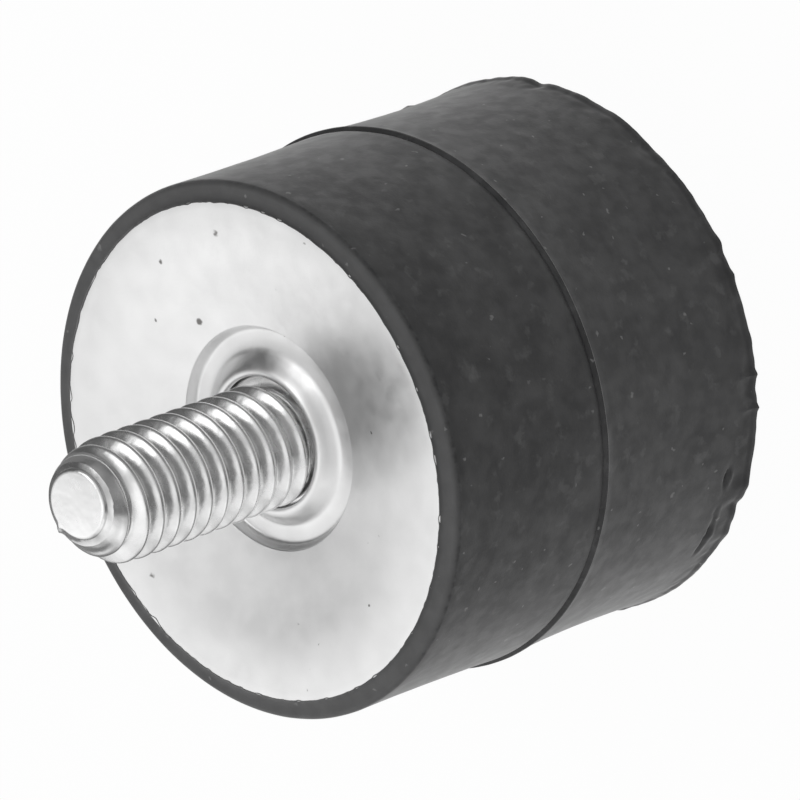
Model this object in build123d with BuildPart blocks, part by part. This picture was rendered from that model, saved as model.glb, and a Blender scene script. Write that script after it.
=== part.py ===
"""Male and female bobbin vibration mount: a rubber cylinder bonded between two steel end plates."""
import os
from math import cos, pi, sin

from build123d import *

# Millimetres. Z runs along the mount with the stud up. Z = 0 is the outer face of the tapped plate.
body_diameter = 25.0  # rubber, at its front rim
mount_height = 20.0  # from plate face to plate face
rubber_setback = 0.15  # how far each plate face stands proud of the rubber
rim_chamfer = 0.20  # soft front rim of the rubber
rear_waist = 0.16  # how far the rear half draws in between rim and seam
front_flare = 0.10  # growth of the front half's radius at the mould seam
rear_flare = 0.22  # growth of the rear half's radius at the seam
rear_rim_growth = 0.20  # growth of the rear half's radius at its rim
seam_height = 10.25  # mould seam, above the tapped face
seam_lip = 0.22  # how far the lip at the seam stands out past the front half
seam_lip_height = 0.40  # height of the lip's slope

flash_thickness = 0.35  # torn fin of rubber round the rear rim
flash_reach = 0.09  # mean reach of the fin past the rim
flash_swing = 0.07  # how much that reach comes and goes
flash_waves = ((3, 0.6, 0.40), (7, 2.1, 0.35), (11, 4.0, 0.25))  # waves a turn, phase, share
flash_corners = 48  # corners of the torn edge, a turn

rim_width = 0.925  # rubber over the edge of each plate
plate_thickness = 2.0
plate_edge_chamfer = 0.12
land_width = 0.60  # flat outer land of the stud plate
dish_depth = 0.94  # how far the stud plate is dished, from the land to the channel
channel_diameter = 10.6  # outer edge of the round-bottomed channel pressed in round the stud
channel_floor_diameter = 8.1
channel_depth = 0.50
collar_diameter = 7.0  # collar of the plate that hugs the stud
collar_rise = 0.20  # collar above the channel's outer edge
collar_chamfer = 0.15

thread_major = 5.85  # M6 crests
thread_minor = 5.0  # M6 tapping size
stud_length = 11.2  # from the outer land to the tip
tip_diameter = 3.4  # flat end of the stud
tip_length = 1.9  # lead of the stud
tip_shoulder_diameter = 5.0  # where the lead's gentle slope meets its steep one
tip_shoulder_length = 0.85  # from there to the tip
shoulder_diameter = 6.4  # plain shoulder of the stud, pressed into the plate
head_diameter = 10.0  # head of the stud, behind the plate
head_thickness = 2.2

bush_diameter = 11.0  # body of the bush, buried in the rubber
bush_neck_diameter = 8.6  # neck of the bush, riveted into the plate
bush_length = 8.5  # from the plate face to the closed end
bore_depth = 7.0  # tapped hole, from the plate face
bore_countersink = 0.60  # depth of the 45 degree lead into the thread

# Worked out from the sizes above
body_radius = body_diameter / 2
plate_radius = body_radius - rim_width
land_radius = plate_radius - land_width
dish_floor = mount_height - dish_depth
rubber_bottom = rubber_setback
rubber_top = mount_height - rubber_setback
collar_top = dish_floor + collar_rise
plate_back = dish_floor - plate_thickness
stud_tip = mount_height + stud_length
rear_rim_radius = body_radius + rear_rim_growth
front_seam_radius = body_radius + front_flare


def flash_radius(angle):
    """Radius of the torn fin at an angle in radians."""
    wave = sum(share * sin(count * angle + phase) for count, phase, share in flash_waves)
    return rear_rim_radius + flash_reach + flash_swing * wave


# Stud plate: a disc dished in towards the stud, with a round-bottomed channel and a collar round the hole
with BuildPart() as stud_plate:
    with BuildSketch(Plane.XZ):
        with BuildLine():
            channel_edge = (channel_diameter / 2, dish_floor)
            channel_floor = (channel_floor_diameter / 2, dish_floor - channel_depth)
            collar_side = (collar_diameter / 2, collar_top - collar_chamfer)
            Polyline(
                (plate_radius, mount_height - plate_edge_chamfer),
                (plate_radius - plate_edge_chamfer, mount_height),
                (land_radius, mount_height),
                channel_edge,
            )
            ThreePointArc(channel_edge, channel_floor, collar_side)
            Polyline(
                collar_side,
                (collar_diameter / 2 - collar_chamfer, collar_top),
                (shoulder_diameter / 2, collar_top),
                (shoulder_diameter / 2, plate_back),
                (channel_diameter / 2, plate_back),
                (land_radius, mount_height - plate_thickness),
                (plate_radius, mount_height - plate_thickness),
                (plate_radius, mount_height - plate_edge_chamfer),
            )
        make_face()
    revolve(axis=Axis.Z)

# Stud: a headed screw held by its head behind the plate, plain at the shoulder, with a lead at the tip
with BuildPart() as threaded_stud:
    with BuildSketch(Plane.XZ):
        with BuildLine():
            Polyline(
                (0, stud_tip),
                (0, plate_back - head_thickness),
                (head_diameter / 2, plate_back - head_thickness),
                (head_diameter / 2, plate_back),
                (shoulder_diameter / 2, plate_back),
                (shoulder_diameter / 2, collar_top),
                (thread_major / 2, collar_top),
                (thread_major / 2, stud_tip - tip_length),
                (tip_shoulder_diameter / 2, stud_tip - tip_shoulder_length),
                (tip_diameter / 2, stud_tip),
                close=True,
            )
        make_face()
    revolve(axis=Axis.Z)

# Tapped plate: a plain disc with a hole for the neck of the bush
with BuildPart() as tapped_plate:
    Cylinder(plate_radius, plate_thickness, align=(Align.CENTER, Align.CENTER, Align.MIN))
    lower_rim = tapped_plate.edges().filter_by(GeomType.CIRCLE).sort_by(Axis.Z)[0]
    chamfer(lower_rim, length=plate_edge_chamfer)
    Hole(bush_neck_diameter / 2)

# Threaded bush: a blind tapped sleeve, its neck flush with the face of the tapped plate
with BuildPart() as threaded_bush:
    Cylinder(bush_neck_diameter / 2, plate_thickness, align=(Align.CENTER, Align.CENTER, Align.MIN))
    with BuildSketch(Plane.XY.offset(plate_thickness)):
        Circle(bush_diameter / 2)
    extrude(amount=bush_length - plate_thickness)
    bush_blank = threaded_bush.part
    with BuildSketch(Plane.XY):
        Circle(thread_minor / 2)
    extrude(amount=bore_depth, mode=Mode.SUBTRACT)
    bore_mouth = threaded_bush.edges().filter_by(GeomType.CIRCLE).group_by(Axis.Z)[0].sort_by(SortBy.RADIUS)[0]
    chamfer(bore_mouth, length=bore_countersink)

# Rubber body: two waisted halves that meet at a lipped mould seam, moulded round everything it holds
with BuildPart() as rubber_body:
    with BuildSketch(Plane.XZ):
        with BuildLine():
            rear_rim = (rear_rim_radius, rubber_bottom)
            rear_seam = (body_radius + rear_flare, seam_height)
            front_seam = (front_seam_radius, seam_height + seam_lip_height)
            front_rim = (body_radius, rubber_top - rim_chamfer)
            Line((0, rubber_bottom), rear_rim)
            ThreePointArc(
                rear_rim,
                (
                    (rear_rim[0] + rear_seam[0]) / 2 - rear_waist,
                    (rear_rim[1] + rear_seam[1]) / 2,
                ),
                rear_seam,
            )
            Polyline(
                rear_seam,
                (front_seam_radius + seam_lip, seam_height),
                front_seam,
                front_rim,
                (body_radius - rim_chamfer, rubber_top),
                (0, rubber_top),
                (0, rubber_bottom),
            )
        make_face()
    revolve(axis=Axis.Z)
    with BuildSketch(Plane.XY.offset(rubber_bottom)):
        with BuildLine():
            turns = [2 * pi * corner / flash_corners for corner in range(flash_corners)]
            Polyline(
                *[(flash_radius(turn) * cos(turn), flash_radius(turn) * sin(turn)) for turn in turns],
                close=True,
            )
        make_face()
    extrude(amount=flash_thickness)
    # pocket that the stud plate lies in, open at the front
    with BuildSketch(Plane.XZ):
        with BuildLine():
            Polyline(
                (0, plate_back),
                (channel_diameter / 2, plate_back),
                (land_radius, mount_height - plate_thickness),
                (plate_radius, mount_height - plate_thickness),
                (plate_radius, mount_height),
                (0, mount_height),
                close=True,
            )
        make_face()
    revolve(axis=Axis.Z, mode=Mode.SUBTRACT)
    add(threaded_stud.part, mode=Mode.SUBTRACT)
    add(tapped_plate.part, mode=Mode.SUBTRACT)
    add(bush_blank, mode=Mode.SUBTRACT)

stud_plate.part.label = "stud_plate"
threaded_stud.part.label = "threaded_stud"
tapped_plate.part.label = "tapped_plate"
threaded_bush.part.label = "threaded_bush"
rubber_body.part.label = "rubber_body"

os.makedirs("parts", exist_ok=True)
export_step(stud_plate.part, "parts/stud_plate.step")
export_step(threaded_stud.part, "parts/threaded_stud.step")
export_step(tapped_plate.part, "parts/tapped_plate.step")
export_step(threaded_bush.part, "parts/threaded_bush.step")
export_step(rubber_body.part, "parts/rubber_body.step")
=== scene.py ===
import math

import bmesh
import bpy
from mathutils import Matrix, Vector, noise


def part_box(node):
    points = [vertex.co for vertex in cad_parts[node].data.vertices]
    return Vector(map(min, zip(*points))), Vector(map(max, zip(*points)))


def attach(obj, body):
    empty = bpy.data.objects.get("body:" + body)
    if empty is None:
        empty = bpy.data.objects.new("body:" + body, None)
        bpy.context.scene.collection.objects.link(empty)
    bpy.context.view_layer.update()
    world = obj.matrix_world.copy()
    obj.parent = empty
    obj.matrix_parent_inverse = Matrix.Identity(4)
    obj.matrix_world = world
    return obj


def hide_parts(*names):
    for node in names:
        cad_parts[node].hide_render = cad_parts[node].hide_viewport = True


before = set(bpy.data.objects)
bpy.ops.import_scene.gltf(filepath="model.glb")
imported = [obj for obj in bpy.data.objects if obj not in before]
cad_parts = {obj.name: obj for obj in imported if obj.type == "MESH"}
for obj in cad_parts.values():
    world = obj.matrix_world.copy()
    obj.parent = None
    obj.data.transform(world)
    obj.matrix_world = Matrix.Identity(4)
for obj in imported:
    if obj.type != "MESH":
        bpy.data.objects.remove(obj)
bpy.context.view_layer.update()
mm = 0.001  # shapes are drawn in millimetres and brought to metres when they are finished

# places that the construction gives, in millimetres
rubberLow, rubberHigh = [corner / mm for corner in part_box("rubber_body")]
plateLow, plateHigh = [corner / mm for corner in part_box("stud_plate")]
studLow, studHigh = [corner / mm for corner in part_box("threaded_stud")]
tappedLow, tappedHigh = [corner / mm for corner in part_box("tapped_plate")]
bushLow, bushHigh = [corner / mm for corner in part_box("threaded_bush")]
# back of the stud plate from its edge inwards, where the rubber is bonded to it: radius, height
plateBack = [(plateHigh.x, 18.0), (10.975, 18.0), (5.3, plateLow.z)]
print("frame loaded, mount face at", round(plateHigh.z, 2), "mm and stud tip at", round(studHigh.z, 2), "mm")


# ---- shared shape tools


def doubleUp(bm, moves):
    # copies everything made so far once for each move, and joins what meets
    for move in moves:
        copy = bmesh.ops.duplicate(bm, geom=list(bm.verts) + list(bm.edges) + list(bm.faces))["geom"]
        verts = [item for item in copy if isinstance(item, bmesh.types.BMVert)]
        bmesh.ops.transform(bm, matrix=move, verts=verts)
    bmesh.ops.remove_doubles(bm, verts=bm.verts, dist=0.0005)


def spinOutline(outline, steps):
    # an outline of (radius, height) points once round the mount's axis: an eighth is spun, then doubled up
    bm = bmesh.new()
    corners = [bm.verts.new((radius, 0, height)) for radius, height in outline]
    lines = [bm.edges.new(pair) for pair in zip(corners, corners[1:])]
    eighth = math.tau / 8
    bmesh.ops.spin(
        bm,
        geom=corners + lines,
        cent=(0, 0, 0),
        axis=(0, 0, 1),
        dvec=(0, 0, 0),
        angle=eighth,
        steps=steps // 8,
        use_merge=False,
    )
    doubleUp(bm, [Matrix.Rotation(eighth * count, 4, "Z") for count in (1, 2, 4)])
    return bm


def arc(centre, radius, start, end, steps):
    # points of an arc in an outline, angles in degrees
    points = []
    for step in range(steps + 1):
        turn = math.radians(start + (end - start) * step / steps)
        points.append((centre[0] + radius * math.cos(turn), centre[1] + radius * math.sin(turn)))
    return points


def soften(points, rounds):
    # cuts the corners of an outline until it runs smoothly
    for _ in range(rounds):
        cut = [points[0]]
        for (firstX, firstZ), (nextX, nextZ) in zip(points, points[1:]):
            cut.append((firstX * 0.75 + nextX * 0.25, firstZ * 0.75 + nextZ * 0.25))
            cut.append((firstX * 0.25 + nextX * 0.75, firstZ * 0.25 + nextZ * 0.75))
        points = cut + [points[-1]]
    return points


def ease(value, low, high):
    # 0 below low, 1 above high, smooth between them
    share = min(1.0, max(0.0, (value - low) / (high - low)))
    return share * share * (3 - 2 * share)


def hump(value, centre, width):
    # a smooth rise to 1 at the centre
    return math.exp(-(((value - centre) / width) ** 2))


def wander(point, size, seed):
    # smooth noise from -1 to 1 with blotches about size millimetres across
    return noise.noise(Vector(point) / size + Vector((seed * 7.3, seed * 3.1, seed * 5.7)))


def angleOf(point):
    return math.degrees(math.atan2(point.y, point.x))


def angleGap(first, second):
    return (first - second + 180) % 360 - 180


def setRadius(vert, radius):
    length = math.hypot(vert.co.x, vert.co.y)
    if length > 1e-6:
        vert.co.x *= radius / length
        vert.co.y *= radius / length


def threadOutline(crest, depth, pitch):
    # one pitch of a thread from root to root, with height in pitches and share of the depth
    half = [(0, 1), (0.05, 0.99), (0.085, 0.955), (0.115, 0.90), (0.17, 0.74), (0.23, 0.56), (0.29, 0.38)]
    half += [(0.35, 0.20), (0.385, 0.105), (0.415, 0.04), (0.45, 0.01), (0.5, 0)]
    whole = half + [(1 - height, share) for height, share in reversed(half[:-1])]
    return [(crest - depth * share, height * pitch) for height, share in whole]


def threadBetween(outline, pitch, steps, copies, low, high, phase):
    # a thread as a helical sheet, cut flat at both ends
    bm = bmesh.new()
    start = low - pitch * (2 + phase)
    corners = [bm.verts.new((radius, 0, start + height)) for radius, height in outline]
    lines = [bm.edges.new(pair) for pair in zip(corners, corners[1:])]
    bmesh.ops.spin(
        bm,
        geom=corners + lines,
        cent=(0, 0, 0),
        axis=(0, 0, 1),
        dvec=(0, 0, pitch / steps),
        angle=math.tau,
        steps=steps,
        use_merge=False,
    )
    doubleUp(bm, [Matrix.Translation((0, 0, pitch * count)) for count in copies])
    for height, side in ((low, -1), (high, 1)):
        everything = list(bm.verts) + list(bm.edges) + list(bm.faces)
        bmesh.ops.bisect_plane(
            bm, geom=everything, dist=1e-5, plane_co=(0, 0, height), plane_no=(0, 0, side), clear_outer=True
        )
    return bm


def drawOn(bm, height, stations):
    # from the open rim at that height, ring by ring through radius and height, then closed
    loop = [edge for edge in bm.edges if edge.is_boundary and abs(edge.verts[0].co.z - height) < 0.01]
    for radius, level in stations:
        grown = bmesh.ops.extrude_edge_only(bm, edges=loop)["geom"]
        loop = [item for item in grown if isinstance(item, bmesh.types.BMEdge) and item.is_boundary]
        for vert in {vert for edge in loop for vert in edge.verts}:
            setRadius(vert, radius)
            vert.co.z = level
    bmesh.ops.holes_fill(bm, edges=loop, sides=0)


def finishPiece(bm, name, nodes, material, crease):
    bmesh.ops.remove_doubles(bm, verts=bm.verts, dist=0.0005)
    bmesh.ops.recalc_face_normals(bm, faces=bm.faces)
    bmesh.ops.scale(bm, vec=(mm, mm, mm), verts=bm.verts)
    mesh = bpy.data.meshes.new(name)
    bm.to_mesh(mesh)
    bm.free()
    mesh.shade_smooth()
    mesh.set_sharp_from_angle(angle=math.radians(crease))
    mesh.materials.append(material)
    piece = bpy.data.objects.new(name, mesh)
    bpy.context.scene.collection.objects.link(piece)
    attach(piece, "root")
    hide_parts(*nodes)
    print(name, "made with", len(mesh.polygons), "faces")
    return piece


# ---- camera, above the stud end and turned on its side

camera = {
    "lens": 359.0,  # mm
    "sensor": 36.0,  # mm
    "distance": 364.0,  # mm
    "aim": (-0.027, 0.139, 10.148),  # mm
    "elevation": 43.24,  # degrees above the floor
    "roll": 109.76,  # degrees
}

rise = math.radians(camera["elevation"])
towardCamera = Vector((0, -math.cos(rise), math.sin(rise)))
cameraTurn = towardCamera.to_track_quat("Z", "Y").to_matrix()
cameraTurn = cameraTurn @ Matrix.Rotation(math.radians(-camera["roll"]), 3, "Z")
cameraData = bpy.data.cameras.new("camera")
cameraData.lens = camera["lens"]
cameraData.sensor_width = camera["sensor"]
cameraData.clip_start = 0.01
cameraData.clip_end = 10
cameraObject = bpy.data.objects.new("camera", cameraData)
cameraPlace = (Vector(camera["aim"]) + towardCamera * camera["distance"]) * mm
cameraObject.matrix_world = Matrix.Translation(cameraPlace) @ cameraTurn.to_4x4()
bpy.context.scene.collection.objects.link(cameraObject)
bpy.context.scene.camera = cameraObject
bpy.context.scene.view_settings.view_transform = "Standard"
print("camera placed")


# ---- shared material tools


def connect(tree, value, socket):
    # links an output, or writes a plain number or colour
    if isinstance(value, bpy.types.NodeSocket):
        tree.links.new(value, socket)
    else:
        socket.default_value = value


def combine(tree, operation, first, second):
    node = tree.nodes.new("ShaderNodeMath")
    node.operation = operation
    connect(tree, first, node.inputs[0])
    connect(tree, second, node.inputs[1])
    return node.outputs["Value"]


def remap(tree, value, low, high, newLow, newHigh):
    node = tree.nodes.new("ShaderNodeMapRange")
    node.interpolation_type = "SMOOTHSTEP"
    for name, number in (("From Min", low), ("From Max", high), ("To Min", newLow), ("To Max", newHigh)):
        node.inputs[name].default_value = number
    connect(tree, value, node.inputs["Value"])
    return node.outputs["Result"]


def mixColours(tree, share, first, second):
    node = tree.nodes.new("ShaderNodeMix")
    node.data_type = "RGBA"
    connect(tree, share, node.inputs["Factor"])
    connect(tree, first, node.inputs[6])
    connect(tree, second, node.inputs[7])
    return node.outputs[2]


def millimetres(tree):
    # object coordinates, counted in millimetres
    place = tree.nodes.new("ShaderNodeTexCoord")
    scale = tree.nodes.new("ShaderNodeMapping")
    scale.inputs["Scale"].default_value = (1 / mm, 1 / mm, 1 / mm)
    tree.links.new(place.outputs["Object"], scale.inputs["Vector"])
    return scale.outputs["Vector"]


def grain(tree, place, size, detail):
    # cloudy pattern with blotches about size millimetres across
    node = tree.nodes.new("ShaderNodeTexNoise")
    node.inputs["Scale"].default_value = 1 / size
    node.inputs["Detail"].default_value = detail
    tree.links.new(place, node.inputs["Vector"])
    return node.outputs["Fac"]


def shake(tree, place, size, amount):
    # pushes a place about, so that what is drawn with it has a ragged edge
    node = tree.nodes.new("ShaderNodeTexNoise")
    node.inputs["Scale"].default_value = 1 / size
    tree.links.new(place, node.inputs["Vector"])
    push = tree.nodes.new("ShaderNodeVectorMath")
    push.operation = "MULTIPLY_ADD"
    tree.links.new(node.outputs["Color"], push.inputs[0])
    push.inputs[1].default_value = (amount, amount, amount)
    tree.links.new(place, push.inputs[2])
    return push.outputs["Vector"]


def specks(tree, place, spacing, size, share):
    # scattered dots: a share of the cells of a given spacing holds one
    node = tree.nodes.new("ShaderNodeTexVoronoi")
    node.inputs["Scale"].default_value = 1 / spacing
    tree.links.new(place, node.inputs["Vector"])
    pick = tree.nodes.new("ShaderNodeSeparateColor")
    tree.links.new(node.outputs["Color"], pick.inputs["Color"])
    chosen = remap(tree, pick.outputs["Red"], share - 0.01, share + 0.01, 1, 0)
    reach = size / spacing
    dot = remap(tree, node.outputs["Distance"], reach * 0.4, reach, 1, 0)
    return combine(tree, "MULTIPLY", dot, chosen)


def marks(tree, place, spots):
    # single dots at (angle, radius, height, size)
    total = None
    for angle, radius, height, size in spots:
        turn = math.radians(angle)
        node = tree.nodes.new("ShaderNodeVectorMath")
        node.operation = "DISTANCE"
        node.inputs[1].default_value = (radius * math.cos(turn), radius * math.sin(turn), height)
        tree.links.new(place, node.inputs[0])
        dot = remap(tree, node.outputs["Value"], size * 0.45, size, 1, 0)
        total = dot if total is None else combine(tree, "MAXIMUM", total, dot)
    return total


def addBump(tree, height, strength, distance, under=None):
    node = tree.nodes.new("ShaderNodeBump")
    node.inputs["Strength"].default_value = strength
    node.inputs["Distance"].default_value = distance * mm
    tree.links.new(height, node.inputs["Height"])
    if under is not None:
        tree.links.new(under, node.inputs["Normal"])
    return node.outputs["Normal"]


def newMaterial(name):
    material = bpy.data.materials.new(name)
    material.use_nodes = True
    tree = material.node_tree
    return material, tree, tree.nodes["Principled BSDF"].inputs


# ---- light: a soft room with softboxes, and a white backdrop

studio = {
    "room": 0.12,
    # direction as the camera sees it (right, up, toward it), cosines of the angles where a softbox
    # starts to fade and where it is gone, strength
    "softboxes": (
        ((0.27, -0.92, 0.28), 0.98, 0.75, 0.64),
        ((-0.73, -0.52, -0.44), 0.98, 0.75, 0.86),
        ((-0.27, -0.96, 0.08), 0.98, 0.75, 0.40),
        ((-0.95, -0.28, -0.12), 0.98, 0.78, 0.27),
        ((-0.45, 0.62, 0.62), 0.98, 0.75, 0.25),
        ((-0.72, -0.69, 0.07), 0.98, 0.75, 0.16),
        ((-0.43, -0.70, 0.57), 0.98, 0.75, 0.55),
        ((-0.45, -0.14, 0.88), 0.98, 0.72, 0.55),
        ((0.74, 0.27, 0.62), 0.98, 0.68, 0.45),
        ((-0.84, -0.32, 0.44), 0.98, 0.75, 0.58),
        ((-0.78, 0.25, 0.56), 0.985, 0.94, 1.85),
    ),
    "backdrop": ((-0.05, 0.15, -1.0), 0.98, 0.75, 0.60),
    "floorWidth": 3.0,  # m
    "floorDrop": 0.02,  # mm below the tapped face
    "floorWhite": 0.965,  # how far the floor is plain white to the camera, with the rest lit
    "floorMirror": 0.90,  # the same for what shows in the metal and on the rubber
    "floorGlowPool": (0.025, 0.060, 0.15),  # m where the painted pool of light round the object, seen in the metal and on the rubber, starts to fade and ends, share left beyond
    "floorColour": (0.86, 0.86, 0.86, 1),
}


def patchOfSky(tree, place, direction, core, edge, strength):
    # a soft-edged round patch of light
    node = tree.nodes.new("ShaderNodeVectorMath")
    node.operation = "DOT_PRODUCT"
    node.inputs[1].default_value = (cameraTurn @ Vector(direction)).normalized()
    tree.links.new(place, node.inputs[0])
    return remap(tree, node.outputs["Value"], edge, core, 0, strength)


def lightRoom():
    world = bpy.data.worlds.new("studio")
    bpy.context.scene.world = world
    world.use_nodes = True
    tree = world.node_tree
    tree.nodes.clear()
    place = tree.nodes.new("ShaderNodeTexCoord").outputs["Generated"]
    light = studio["room"]
    for softbox in studio["softboxes"]:
        light = combine(tree, "ADD", light, patchOfSky(tree, place, *softbox))
    room = tree.nodes.new("ShaderNodeBackground")
    tree.links.new(light, room.inputs["Strength"])
    white = tree.nodes.new("ShaderNodeBackground")
    white.inputs["Color"].default_value = (1, 1, 1, 1)
    rays = tree.nodes.new("ShaderNodeLightPath").outputs
    mirrored = combine(tree, "ADD", rays["Is Glossy Ray"], rays["Is Transmission Ray"])
    behind = patchOfSky(tree, place, *studio["backdrop"])
    share = combine(tree, "ADD", rays["Is Camera Ray"], combine(tree, "MULTIPLY", mirrored, behind))
    mix = tree.nodes.new("ShaderNodeMixShader")
    tree.links.new(share, mix.inputs["Fac"])
    tree.links.new(room.outputs[0], mix.inputs[1])
    tree.links.new(white.outputs[0], mix.inputs[2])
    end = tree.nodes.new("ShaderNodeOutputWorld")
    tree.links.new(mix.outputs[0], end.inputs["Surface"])


def layFloor():
    bm = bmesh.new()
    bmesh.ops.create_grid(bm, x_segments=1, y_segments=1, size=studio["floorWidth"] / 2)
    bmesh.ops.translate(bm, vec=(0, 0, -studio["floorDrop"] * mm), verts=bm.verts)
    mesh = bpy.data.meshes.new("floor")
    bm.to_mesh(mesh)
    bm.free()
    material = bpy.data.materials.new("paleFloor")
    material.use_nodes = True
    tree = material.node_tree
    tree.nodes.clear()
    matt = tree.nodes.new("ShaderNodeBsdfDiffuse")
    matt.inputs["Color"].default_value = studio["floorColour"]
    white = tree.nodes.new("ShaderNodeEmission")
    rays = tree.nodes.new("ShaderNodeLightPath").outputs
    mirrored = combine(tree, "ADD", rays["Is Glossy Ray"], rays["Is Transmission Ray"])
    distance = tree.nodes.new("ShaderNodeVectorMath")
    distance.operation = "LENGTH"
    tree.links.new(tree.nodes.new("ShaderNodeTexCoord").outputs["Object"], distance.inputs[0])
    # painted pool of light: in reflections the floor glows white near the object and dimmer further out
    near, far, left = studio["floorGlowPool"]
    glowPool = remap(tree, distance.outputs["Value"], near, far, 1, left)
    glow = combine(tree, "ADD", rays["Is Camera Ray"], combine(tree, "MULTIPLY", mirrored, glowPool))
    tree.links.new(glow, white.inputs["Strength"])
    seen = combine(tree, "MULTIPLY", rays["Is Camera Ray"], studio["floorWhite"])
    share = combine(tree, "ADD", seen, combine(tree, "MULTIPLY", mirrored, studio["floorMirror"]))
    lit = tree.nodes.new("ShaderNodeMixShader")
    tree.links.new(share, lit.inputs["Fac"])
    tree.links.new(matt.outputs[0], lit.inputs[1])
    tree.links.new(white.outputs[0], lit.inputs[2])
    clear = tree.nodes.new("ShaderNodeBsdfTransparent")
    oneSided = tree.nodes.new("ShaderNodeMixShader")  # the floor is clear from below
    tree.links.new(tree.nodes.new("ShaderNodeNewGeometry").outputs["Backfacing"], oneSided.inputs["Fac"])
    tree.links.new(lit.outputs[0], oneSided.inputs[1])
    tree.links.new(clear.outputs[0], oneSided.inputs[2])
    end = tree.nodes.new("ShaderNodeOutputMaterial")
    tree.links.new(oneSided.outputs[0], end.inputs["Surface"])
    mesh.materials.append(material)
    floor = bpy.data.objects.new("floor", mesh)
    bpy.context.scene.collection.objects.link(floor)


lightRoom()
layFloor()
print("room lit and floor laid")


# ---- rubber body

rubber = {
    "steps": 720,
    "rearRows": 32,  # rows of faces by the rear rim, where the shape is ragged
    "rearRowHeight": 0.085,
    "rearSideRows": 22,  # from there to the seam
    "frontSideRows": 24,
    "rearFace": (12.1, 12.5),  # radii on the rear face
    "rearRadius": 12.70,
    "rearWaist": 0.17,
    "rearSeamRadius": 12.72,
    "finHeight": 0.36,  # torn fin round the rear rim
    "finReach": 0.07,
    "seamHeight": 10.25,
    "seamLip": 12.78,
    "lipProfile": ((-0.04, -0.05), (0, 0), (-0.02, 0.06)),  # radius and height from the lip's edge
    "seamGroove": 0.04,  # depth of the fine crease in front of the lip
    "grooveProfile": ((0, 0.16), (0.01, 0.22)),
    "grooveEnd": 0.32,  # height above the seam
    "frontSeamRadius": 12.61,
    "frontWaist": 0.05,
    "frontRadius": 12.50,
    "rimRound": 0.28,
    "rimProfile": ((0.40, -0.01), (0.16, 0.02)),  # radius from the plate's edge, height from the rubber's
    "rimCreep": 0.04,  # how far the rubber creeps over the edge of the stud plate
    # where the creep is raggedest: angle, half width in degrees
    "creepPlaces": ((60, 28), (118, 9)),
    # bumps and bites in the rear rim: angle, half width in degrees, how far they stand out
    "rimMarks": (
        (-20.0, 4.5, 0.08),
        (-25.3, 1.4, -0.12),
        (-46.5, 3.0, 0.07),
        (-58.0, 3.5, -0.09),
        (-81.8, 1.5, 0.11),
        (-89.0, 0.9, 0.10),
        (-103.5, 2.5, 0.06),
        (-109.9, 0.7, 0.14),
        (-113.4, 1.6, -0.10),
        (-117.0, 0.6, 0.13),
        (-134.5, 2.4, 0.12),
        (-140.2, 1.6, -0.14),
        (-148.0, 2.0, 0.10),
    ),
    "tearFrom": -127.0,  # degrees
    "tearTo": -157.0,
    "tearHeight": 1.55,
    "tearDepth": 0.20,
    "tearLift": 0.10,
    "nib": (-2.8, 12.62, 4.15),  # nib of flash on the rear half: angle, radius, height
    "nibSize": 0.13,
    "darkColour": (0.025, 0.025, 0.026, 1),
    "lightColour": (0.044, 0.044, 0.045, 1),
    # pale colour of the smears, and of the painted highlight on the front rim
    "smearAndRimHighlightColour": (0.085, 0.085, 0.086, 1),
    "dustColour": (0.20, 0.20, 0.20, 1),
    "rimHighlightFrom": 19.75,  # height where the painted highlight on the front rim begins
    "rimHighlightTo": 20.0,
    "roughness": (0.50, 0.66),
    "sheen": 0.60,
    "sheenRoughness": 0.38,
    # larger grains and smears: angle, height, size
    "grains": (
        (-74.4, 18.1, 0.16),
        (-70.6, 17.4, 0.13),
        (-71.2, 18.2, 0.10),
        (-95.0, 15.1, 0.11),
        (-62.8, 9.2, 0.12),
        (-58.3, 2.4, 0.10),
        (-81.3, 4.6, 0.11),
        (-98.3, 2.8, 0.17),
        (-97.1, 6.1, 0.18),
        (-101.4, 6.4, 0.11),
        (-129.4, 5.2, 0.13),
        (-104.3, 1.9, 0.10),
        (-50.7, 9.9, 0.11),
        (-56.2, 10.4, 0.10),
    ),
    "smears": (
        (-105.4, 13.35, 0.42),
        (-106.6, 12.85, 0.30),
        (-92.7, 15.35, 0.30),
        (-62.0, 15.1, 0.25),
        (-69.3, 14.4, 0.35),
        (-94.9, 5.3, 0.45),
        (-89.0, 17.6, 0.60),
        (-97.5, 16.2, 0.45),
        (-77.7, 6.2, 0.30),
    ),
}


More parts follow.
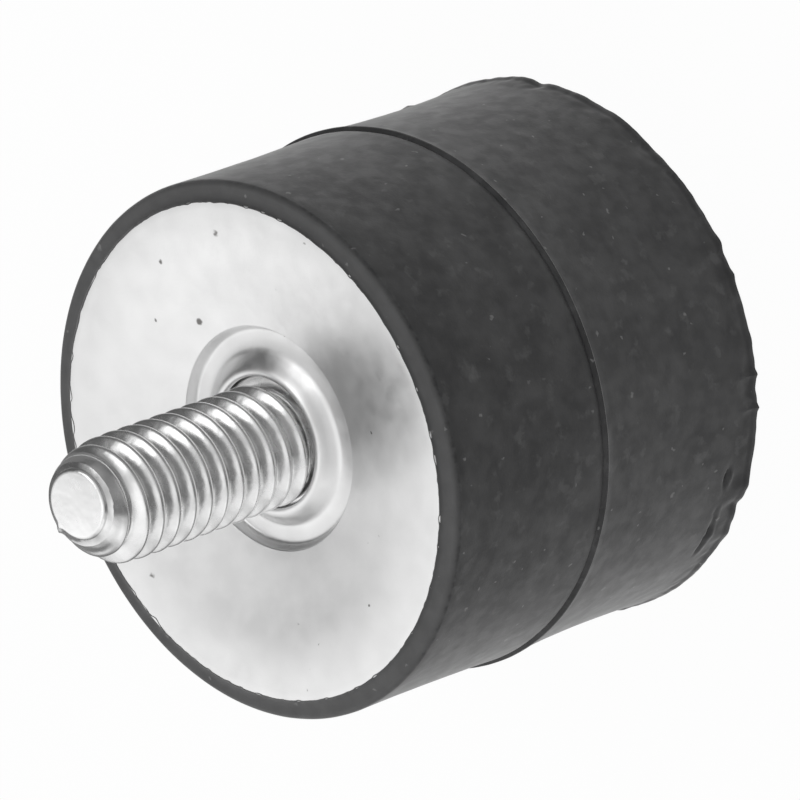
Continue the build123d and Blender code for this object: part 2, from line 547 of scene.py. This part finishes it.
def rubberMaterial():
    material, tree, shader = newMaterial("dustyRubber")
    place = millimetres(tree)
    ragged = shake(tree, place, 0.35, 0.45)
    clouds = remap(tree, grain(tree, place, 2.6, 3.0), 0.38, 0.66, 0, 1)
    base = mixColours(tree, clouds, rubber["darkColour"], rubber["lightColour"])
    # painted highlight: the front rim is painted pale towards its face
    split = tree.nodes.new("ShaderNodeSeparateXYZ")
    tree.links.new(ragged, split.inputs["Vector"])
    rimHighlight = remap(tree, split.outputs["Z"], rubber["rimHighlightFrom"], rubber["rimHighlightTo"], 0, 1)
    base = mixColours(tree, combine(tree, "MULTIPLY", rimHighlight, 0.75), base, rubber["smearAndRimHighlightColour"])
    # smears and a patchy film of dust
    smears = marks(tree, ragged, [(angle, 12.6, height, size) for angle, height, size in rubber["smears"]])
    film = remap(tree, grain(tree, ragged, 0.9, 3.0), 0.56, 0.74, 0, 0.60)
    base = mixColours(tree, combine(tree, "MAXIMUM", smears, film), base, rubber["smearAndRimHighlightColour"])
    # grains of dust
    grains = marks(tree, ragged, [(angle, 12.65, height, size) for angle, height, size in rubber["grains"]])
    fine = specks(tree, ragged, 0.55, 0.11, 0.12)
    sparse = specks(tree, ragged, 1.60, 0.17, 0.12)
    dots = combine(tree, "MAXIMUM", grains, combine(tree, "MAXIMUM", fine, sparse))
    base = mixColours(tree, combine(tree, "MULTIPLY", dots, 0.75), base, rubber["dustColour"])
    tree.links.new(base, shader["Base Color"])
    rough = remap(tree, grain(tree, place, 0.8, 3.0), 0.3, 0.7, *rubber["roughness"])
    tree.links.new(rough, shader["Roughness"])
    shader["Specular IOR Level"].default_value = 0.5
    shader["Sheen Weight"].default_value = rubber["sheen"]
    shader["Sheen Roughness"].default_value = rubber["sheenRoughness"]
    skin = addBump(tree, grain(tree, place, 0.12, 1.0), 0.25, 0.012)
    skin = addBump(tree, grain(tree, place, 1.1, 2.0), 0.25, 0.05, skin)
    tree.links.new(skin, shader["Normal"])
    return material


def rearSide():
    # the rear half from its torn fin over the waist to the seam
    seam = rubber["seamHeight"]
    heights = [rubberLow.z + 0.02 + rubber["rearRowHeight"] * row for row in range(rubber["rearRows"])]
    last = heights[-1]
    rows = rubber["rearSideRows"]
    heights += [last + (seam - 0.12 - last) * row / rows for row in range(1, rows + 1)]
    points = []
    for height in heights:
        share = (height - rubberLow.z) / (seam - rubberLow.z)
        side = rubber["rearRadius"] + (rubber["rearSeamRadius"] - rubber["rearRadius"]) * share
        side -= rubber["rearWaist"] * 4 * share * (1 - share)
        side += rubber["finReach"] * (1 - ease(height, rubber["finHeight"] * 0.8, rubber["finHeight"] * 1.5))
        points.append((side, height))
    return points


def frontSide():
    # the front half from behind the lip over the waist to the rounded rim
    start = rubber["seamHeight"] + rubber["grooveEnd"]
    rimStart = rubberHigh.z - rubber["rimRound"]
    points = [(rubber["frontSeamRadius"], start)]
    for row in range(1, rubber["frontSideRows"] + 1):
        share = row / rubber["frontSideRows"]
        side = rubber["frontSeamRadius"] + (rubber["frontRadius"] - rubber["frontSeamRadius"]) * share
        side -= rubber["frontWaist"] * 4 * share * (1 - share)
        points.append((side, start + (rimStart - start) * share))
    soft = rubber["rimRound"]
    return points + arc((rubber["frontRadius"] - soft, rimStart), soft, 12, 90, 7)


def rubberOutline():
    # section of the rubber, from the pocket of the bush round the outside to the pocket of the stud's head
    outline = [(0, bushHigh.z), (bushHigh.x, bushHigh.z), (bushHigh.x, tappedHigh.z)]
    outline += [(tappedHigh.x, tappedHigh.z), (tappedHigh.x, rubberLow.z)]
    outline += [(radius, rubberLow.z) for radius in rubber["rearFace"]]
    outline += rearSide()
    seam = rubber["seamHeight"]
    outline += [(rubber["seamLip"] + out, seam + up) for out, up in rubber["lipProfile"]]
    groove = rubber["frontSeamRadius"] - rubber["seamGroove"]
    outline += [(groove + out, seam + up) for out, up in rubber["grooveProfile"]]
    outline += frontSide()
    edge = plateHigh.x
    top = plateHigh.z
    creep = edge - rubber["rimCreep"]
    outline += [(edge + out, rubberHigh.z + up) for out, up in rubber["rimProfile"]]
    outline += [(edge + 0.05, top - 0.06), (edge, top + 0.008), (creep, top + 0.012)]
    outline += [(creep - 0.01, top - 0.03), (edge, top - 0.25)]
    outline += plateBack
    outline += [(studHigh.x, plateLow.z), (studHigh.x, studLow.z), (0, studLow.z)]
    return outline


def creepOverPlate(vert, radius, angle):
    # thin ragged skin of rubber over the edge of the plate
    around = Vector((vert.co.x, vert.co.y, 0))
    creep = 0.06 * max(0.0, wander(around, 0.9, 3)) + 0.08 * max(0.0, wander(around, 0.35, 4))
    ragged = sum(hump(angleGap(angle, place), 0, width) for place, width in rubber["creepPlaces"])
    creep += 0.18 * ragged * max(0.0, wander(around, 0.5, 5) + 0.05)
    setRadius(vert, radius - creep)


def tornRim(vert, height, angle):
    # how far the torn rear rim stands out here, and its uneven lower edge
    rim = 1 - ease(height, 0.5, 1.5)
    if rim == 0:
        return 0
    push = 0.045 * wander(vert.co, 1.3, 6) + 0.030 * wander(vert.co, 0.45, 7)
    for place, width, reach in rubber["rimMarks"]:
        push += reach * hump(angleGap(angle, place), 0, width)
    lift = 0.05 * wander(vert.co, 0.7, 8) * (1 - ease(height, 0.2, 0.9))
    vert.co.z = max(rubberLow.z - 0.05, height + lift)
    return rim * push


def tearInSide(vert, height, angle):
    # a ragged tear a little in from the rear rim, with a lifted edge
    inside = ease(-angle, -rubber["tearFrom"], 4 - rubber["tearFrom"])
    inside *= 1 - ease(-angle, -rubber["tearTo"] - 4, -rubber["tearTo"])
    if inside == 0 or height >= 3:
        return 0
    middle = rubber["tearHeight"] + 0.20 * wander(vert.co, 1.6, 9) + 0.10 * wander(vert.co, 0.5, 10)
    inside *= max(0.0, 0.35 + wander((vert.co.x, vert.co.y, 0), 0.9, 11))
    bite = rubber["tearDepth"] * hump(height, middle, 0.10)
    return inside * (rubber["tearLift"] * hump(height, middle - 0.24, 0.12) - bite)


def roughenRubber(bm):
    for vert in bm.verts:
        radius = math.hypot(vert.co.x, vert.co.y)
        height = vert.co.z
        angle = angleOf(vert.co)
        if plateHigh.x - 0.5 <= radius < plateHigh.x + 0.10 and height > plateHigh.z - 0.2:
            creepOverPlate(vert, radius, angle)
        elif radius >= rubber["frontRadius"] - 0.45:
            push = 0.012 * wander(vert.co, 2.4, 1) + 0.004 * wander(vert.co, 0.6, 2)
            push += tornRim(vert, height, angle)
            push += tearInSide(vert, height, angle)
            setRadius(vert, radius + push)
    angle, radius, height = rubber["nib"]
    nib = Vector((radius * math.cos(math.radians(angle)), radius * math.sin(math.radians(angle)), height))
    for vert in bm.verts:
        gap = (vert.co - nib).length
        if gap < 0.4:
            swell = rubber["nibSize"] * hump(gap, 0, rubber["nibSize"])
            setRadius(vert, math.hypot(vert.co.x, vert.co.y) + swell)


def makeRubber():
    bm = spinOutline(rubberOutline(), rubber["steps"])
    roughenRubber(bm)
    return finishPiece(bm, "rubberBody", ["rubber_body"], rubberMaterial(), 40)


makeRubber()


# ---- stud plate

plate = {
    "steps": 480,
    "edgeRound": 0.05,
    "landRadius": plateBack[1][0],
    "bendRadius": 14.0,  # of the bend from the land into the dish
    "dishFloor": 19.06,
    "dishRings": 25,
    "dishRingsEnd": 5.9,  # radius where the rings give way to the softened channel
    "channelRadius": 5.20,  # where the dish rolls over into the channel
    # channel and collar from the outside in: radius, height
    "channel": (
        (5.11, 18.86),
        (5.03, 18.70),
        (4.94, 18.62),
        (4.80, 18.60),
        (4.22, 18.60),
        (4.02, 18.68),
        (3.82, 18.86),
        (3.50, 19.17),
        (3.30, 19.28),
    ),
    # where the inner side of the channel is filled up: angle, half width in degrees, how far
    "channelRamp": (-62, 46, 0.06),
    "collarLip": ((3.12, 19.27), (3.04, 19.18), (3.04, 19.02)),
    "holeRadius": 3.205,
    "holeTop": 18.95,
    "ringShift": (0.34, -0.43),  # the pressed ring stands a little off centre
    "collarShift": (0.24, -0.26),
    "brightness": 0.84,
    "roughness": 0.36,
    "ripple": 1.1,  # size of the plating's unevenness
    "rippleDepth": 0.03,
    # specks and pits: angle, radius, size
    "pits": (
        (-14.7, 10.20, 0.22),
        (10.0, 6.54, 0.20),
        (111.4, 9.98, 0.20),
        (170.3, 7.96, 0.15),
        (-160.0, 9.36, 0.13),
        (-132.9, 7.70, 0.16),
        (-139.0, 7.13, 0.14),
        (-44.5, 11.19, 0.13),
        (-36.4, 8.10, 0.13),
        (9.3, 9.69, 0.16),
        (17.6, 8.16, 0.11),
        (26.0, 8.04, 0.12),
        (172.5, 10.04, 0.11),
        (169.9, 10.93, 0.12),
    ),
}


def dishHeight(radius):
    # height of the dished face outside the channel
    slopeRun = plate["landRadius"] - plate["channelRadius"]
    slope = (plateHigh.z - plate["dishFloor"]) / (slopeRun - 1.2)
    bend = plate["bendRadius"] * slope
    if radius >= plate["landRadius"]:
        return plateHigh.z
    run = plate["landRadius"] - radius
    if run < bend:
        return plateHigh.z - run * run / (2 * plate["bendRadius"])
    return plateHigh.z - slope * (run - bend / 2)


def zincMaterial(name, finish, pits=None):
    material, tree, shader = newMaterial(name)
    place = millimetres(tree)
    ragged = shake(tree, place, 0.25, 0.22)
    clouds = remap(tree, grain(tree, place, 1.4, 3.0), 0.35, 0.68, 0, 1)
    bright = finish["brightness"]
    dull = bright * 0.94
    base = mixColours(tree, clouds, (dull, dull, dull, 1), (bright, bright, bright, 1))
    dots = specks(tree, ragged, 0.9, 0.09, 0.05)
    if pits:
        dots = combine(tree, "MAXIMUM", dots, marks(tree, ragged, pits))
    base = mixColours(tree, combine(tree, "MULTIPLY", dots, 0.9), base, (0.12, 0.115, 0.11, 1))
    tree.links.new(base, shader["Base Color"])
    shader["Metallic"].default_value = 1.0
    rough = finish["roughness"]
    rough = remap(tree, grain(tree, place, 0.7, 2.0), 0.3, 0.7, rough * 0.88, rough * 1.12)
    tree.links.new(rough, shader["Roughness"])
    skin = addBump(tree, grain(tree, place, 0.16, 1.0), 0.10, 0.010)
    skin = addBump(tree, grain(tree, place, finish["ripple"], 1.0), 0.25, finish["rippleDepth"], skin)
    tree.links.new(skin, shader["Normal"])
    return material


def plateOutline():
    edge = plateHigh.x
    top = plateHigh.z
    soft = plate["edgeRound"]
    outline = [(plate["holeRadius"], plateLow.z)] + plateBack[::-1]
    outline += arc((edge - soft, top - soft), soft, 0, 90, 5)
    outline.append((plate["landRadius"] + 0.2, top))
    rings = plate["dishRings"]
    for ring in range(rings + 1):
        radius = plate["landRadius"] + (plate["dishRingsEnd"] - plate["landRadius"]) * ring / rings
        outline.append((radius, dishHeight(radius)))
    rim = plate["channelRadius"]
    channel = [(radius, dishHeight(radius)) for radius in (5.85, rim + 0.08, rim)]
    channel += plate["channel"] + plate["collarLip"]
    outline += soften(channel, 3)
    outline += [(plate["holeRadius"], plate["holeTop"]), (plate["holeRadius"], plateLow.z)]
    return outline


def shiftRing(bm):
    # the channel and the collar stand off centre, and the dish takes that up further out
    ringShift = Vector(plate["ringShift"] + (0,))
    collarShift = Vector(plate["collarShift"] + (0,))
    place, width, rise = plate["channelRamp"]
    for vert in bm.verts:
        if vert.co.z <= plateBack[0][1] + 0.1:
            continue
        radius = math.hypot(vert.co.x, vert.co.y)
        share = ease(radius, 3.4, 4.5)
        vert.co += (ringShift * share + collarShift * (1 - share)) * (1 - ease(radius, 5.5, 8.5))
        vert.co.z += rise * hump(angleGap(angleOf(vert.co), place), 0, width) * hump(radius, 4.12, 0.34)
        vert.co.z += 0.010 * wander(vert.co, 3.0, 12) * (1 - ease(radius, 10.5, 11.2))


def makePlate():
    bm = spinOutline(plateOutline(), plate["steps"])
    shiftRing(bm)
    pits = [(angle, radius, dishHeight(radius), size) for angle, radius, size in plate["pits"]]
    material = zincMaterial("satinZinc", plate, pits)
    return finishPiece(bm, "studPlate", ["stud_plate"], material, 30)


makePlate()


# ---- threaded stud

stud = {
    "steps": 72,  # round one turn of the thread
    "pitch": 1.0,
    "crest": 2.87,
    "depth": 0.54,
    "runOut": 18.97,  # height where the thread starts, inside the plate's collar
    "phase": -0.30,  # turns
    "shift": (0.13, -0.19),  # the stud stands a little off centre
    "leadLength": 2.25,
    "leadSkew": 0.40,  # longer on one side and shorter on the other
    "leadFade": (2.05, 2.75),  # radii of the lead between which the thread fades out
    "tipHeight": 31.12,
    "tipPlain": (0.65, 0.15),  # below the tip, where the thread fades and where it is gone
    "tipRadius": 1.66,
    "tipRound": 0.26,
    "tipLean": 2.6,  # length over which the stud leans and tilts to its tip
    "tipShift": (0.32, -0.25),
    "tipTilt": 0.08,
    "burr": (114, 5, 0.18),  # burr left by the cut: angle, half width in degrees, reach
    "neckRadius": 2.62,
    "neckEnd": 18.93,
    "shoulderRadius": 3.20,
    "shoulderTop": 18.92,
    "shoulderChamfer": (0.05, 0.04),
    "brightness": 0.90,
    "roughness": 0.25,
    "ripple": 0.50,
    "rippleDepth": 0.07,
}


def leadRadius(height, angle):
    length = stud["leadLength"] + stud["leadSkew"] * math.cos(math.radians(angle))
    share = max(0.0, (height - stud["tipHeight"] + length) / length)
    return stud["crest"] - (stud["crest"] - stud["tipRadius"]) * share**1.7


def runOutThread(bm):
    # the thread starts at the neck and fades out on the lead
    tip = stud["tipHeight"]
    fadeFrom, fadeTo = stud["tipPlain"]
    for vert in bm.verts:
        height = vert.co.z
        valley = stud["crest"] - math.hypot(vert.co.x, vert.co.y)
        edge = leadRadius(height, angleOf(vert.co))
        valley *= ease(edge, *stud["leadFade"]) * (1 - ease(height, tip - fadeFrom, tip - fadeTo))
        bottom = ease(height, stud["runOut"], stud["runOut"] + 0.15)
        crest = edge * bottom + stud["neckRadius"] * (1 - bottom)
        setRadius(vert, crest - valley * bottom + 0.012 * wander(vert.co, 0.7, 13))


def leanStud(bm, cut):
    # the stud stands off centre, its tip leans further, and the cut left a burr
    tip = stud["tipHeight"]
    burrPlace, burrWidth, burrReach = stud["burr"]
    for vert in bm.verts:
        share = ease(vert.co.z, tip - stud["tipLean"], tip)
        burr = hump(angleGap(angleOf(vert.co), burrPlace), 0, burrWidth) * ease(vert.co.z, cut - 0.15, cut)
        radius = math.hypot(vert.co.x, vert.co.y)
        if radius > stud["tipRadius"] - 0.2:
            setRadius(vert, radius + burrReach * burr)
        vert.co.z += stud["tipTilt"] * vert.co.y * share
        vert.co += Vector(stud["tipShift"] + (0,)) * share
        vert.co += Vector(stud["shift"] + (0,)) * ease(vert.co.z, plateLow.z, 18.9)


def makeStud():
    cut = stud["tipHeight"] - stud["tipRound"]
    outline = threadOutline(stud["crest"], stud["depth"], stud["pitch"])
    start = stud["runOut"]
    bm = threadBetween(outline, stud["pitch"], stud["steps"], (1, 2, 4, 8), start, cut, stud["phase"])
    runOutThread(bm)
    # neck, shoulder and head, then the rounded edge of the tip
    shoulder = stud["shoulderRadius"]
    top = stud["shoulderTop"]
    inwards, down = stud["shoulderChamfer"]
    shank = [(stud["neckRadius"], stud["neckEnd"]), (shoulder - inwards, top), (shoulder, top - down)]
    shank += [(shoulder, plateLow.z), (studHigh.x, plateLow.z), (studHigh.x, studLow.z)]
    drawOn(bm, start, shank)
    drawOn(bm, cut, arc((stud["tipRadius"] - stud["tipRound"], cut), stud["tipRound"], 15, 90, 5))
    leanStud(bm, cut)
    material = zincMaterial("brightZinc", stud)
    return finishPiece(bm, "threadedStud", ["threaded_stud"], material, 55)


makeStud()


# ---- tapped end

bush = {
    "steps": 72,
    "neckRadius": 4.30,
    "neckChamfer": (0.10, 0.08),
    "minor": 2.50,
    "major": 3.0,
    "pitch": 1.0,
    "phase": -0.55,  # turns
    "countersink": 0.60,
    "leadIn": 0.45,  # height where the thread starts, in the countersink
    "boreDepth": 7.0,
    "threadEnd": 0.4,  # plain part at the bottom of the bore
    "drillPoint": (0.2, 0.8),  # radius, height past the bore
    "brightness": 0.88,
    "roughness": 0.28,
    "ripple": 0.6,
    "rippleDepth": 0.03,
}

tapped = {
    "steps": 240,
    "edgeRound": 0.15,
    "holeChamfer": 0.08,
    "faceRing": 8.0,  # radius of a ring of corners that keeps the flat face even
    "brightness": 0.86,
    "roughness": 0.38,
    "ripple": 1.3,
    "rippleDepth": 0.03,
}


def makeBush():
    neck = bush["neckRadius"]
    inwards, up = bush["neckChamfer"]
    outline = threadOutline(bush["major"], bush["major"] - bush["minor"], bush["pitch"])
    end = bush["boreDepth"] - bush["threadEnd"]
    bm = threadBetween(outline, bush["pitch"], bush["steps"], (1, 2, 4), bush["leadIn"], end, bush["phase"])
    mouth = [(bush["minor"] + bush["countersink"], 0), (neck - inwards, 0), (neck, up), (neck, tappedHigh.z)]
    mouth += [(bushHigh.x, tappedHigh.z), (bushHigh.x, bushHigh.z)]
    drawOn(bm, bush["leadIn"], mouth)
    radius, past = bush["drillPoint"]
    drawOn(bm, end, [(bush["minor"], bush["boreDepth"]), (radius, bush["boreDepth"] + past)])
    material = zincMaterial("brightZincRear", bush)
    return finishPiece(bm, "threadedBush", ["threaded_bush"], material, 30)


def makeTappedPlate():
    edge = tappedHigh.x
    soft = tapped["edgeRound"]
    hole = bush["neckRadius"]
    chamfer = tapped["holeChamfer"]
    outline = [(hole, tappedHigh.z), (edge, tappedHigh.z)]
    outline += [(edge, soft)] + arc((edge - soft, soft), soft, 0, -90, 4)
    outline += [(tapped["faceRing"], 0), (hole + chamfer, 0), (hole, chamfer), (hole, tappedHigh.z)]
    bm = spinOutline(outline, tapped["steps"])
    material = zincMaterial("satinZincRear", tapped)
    return finishPiece(bm, "tappedPlate", ["tapped_plate"], material, 30)


makeTappedPlate()
makeBush()
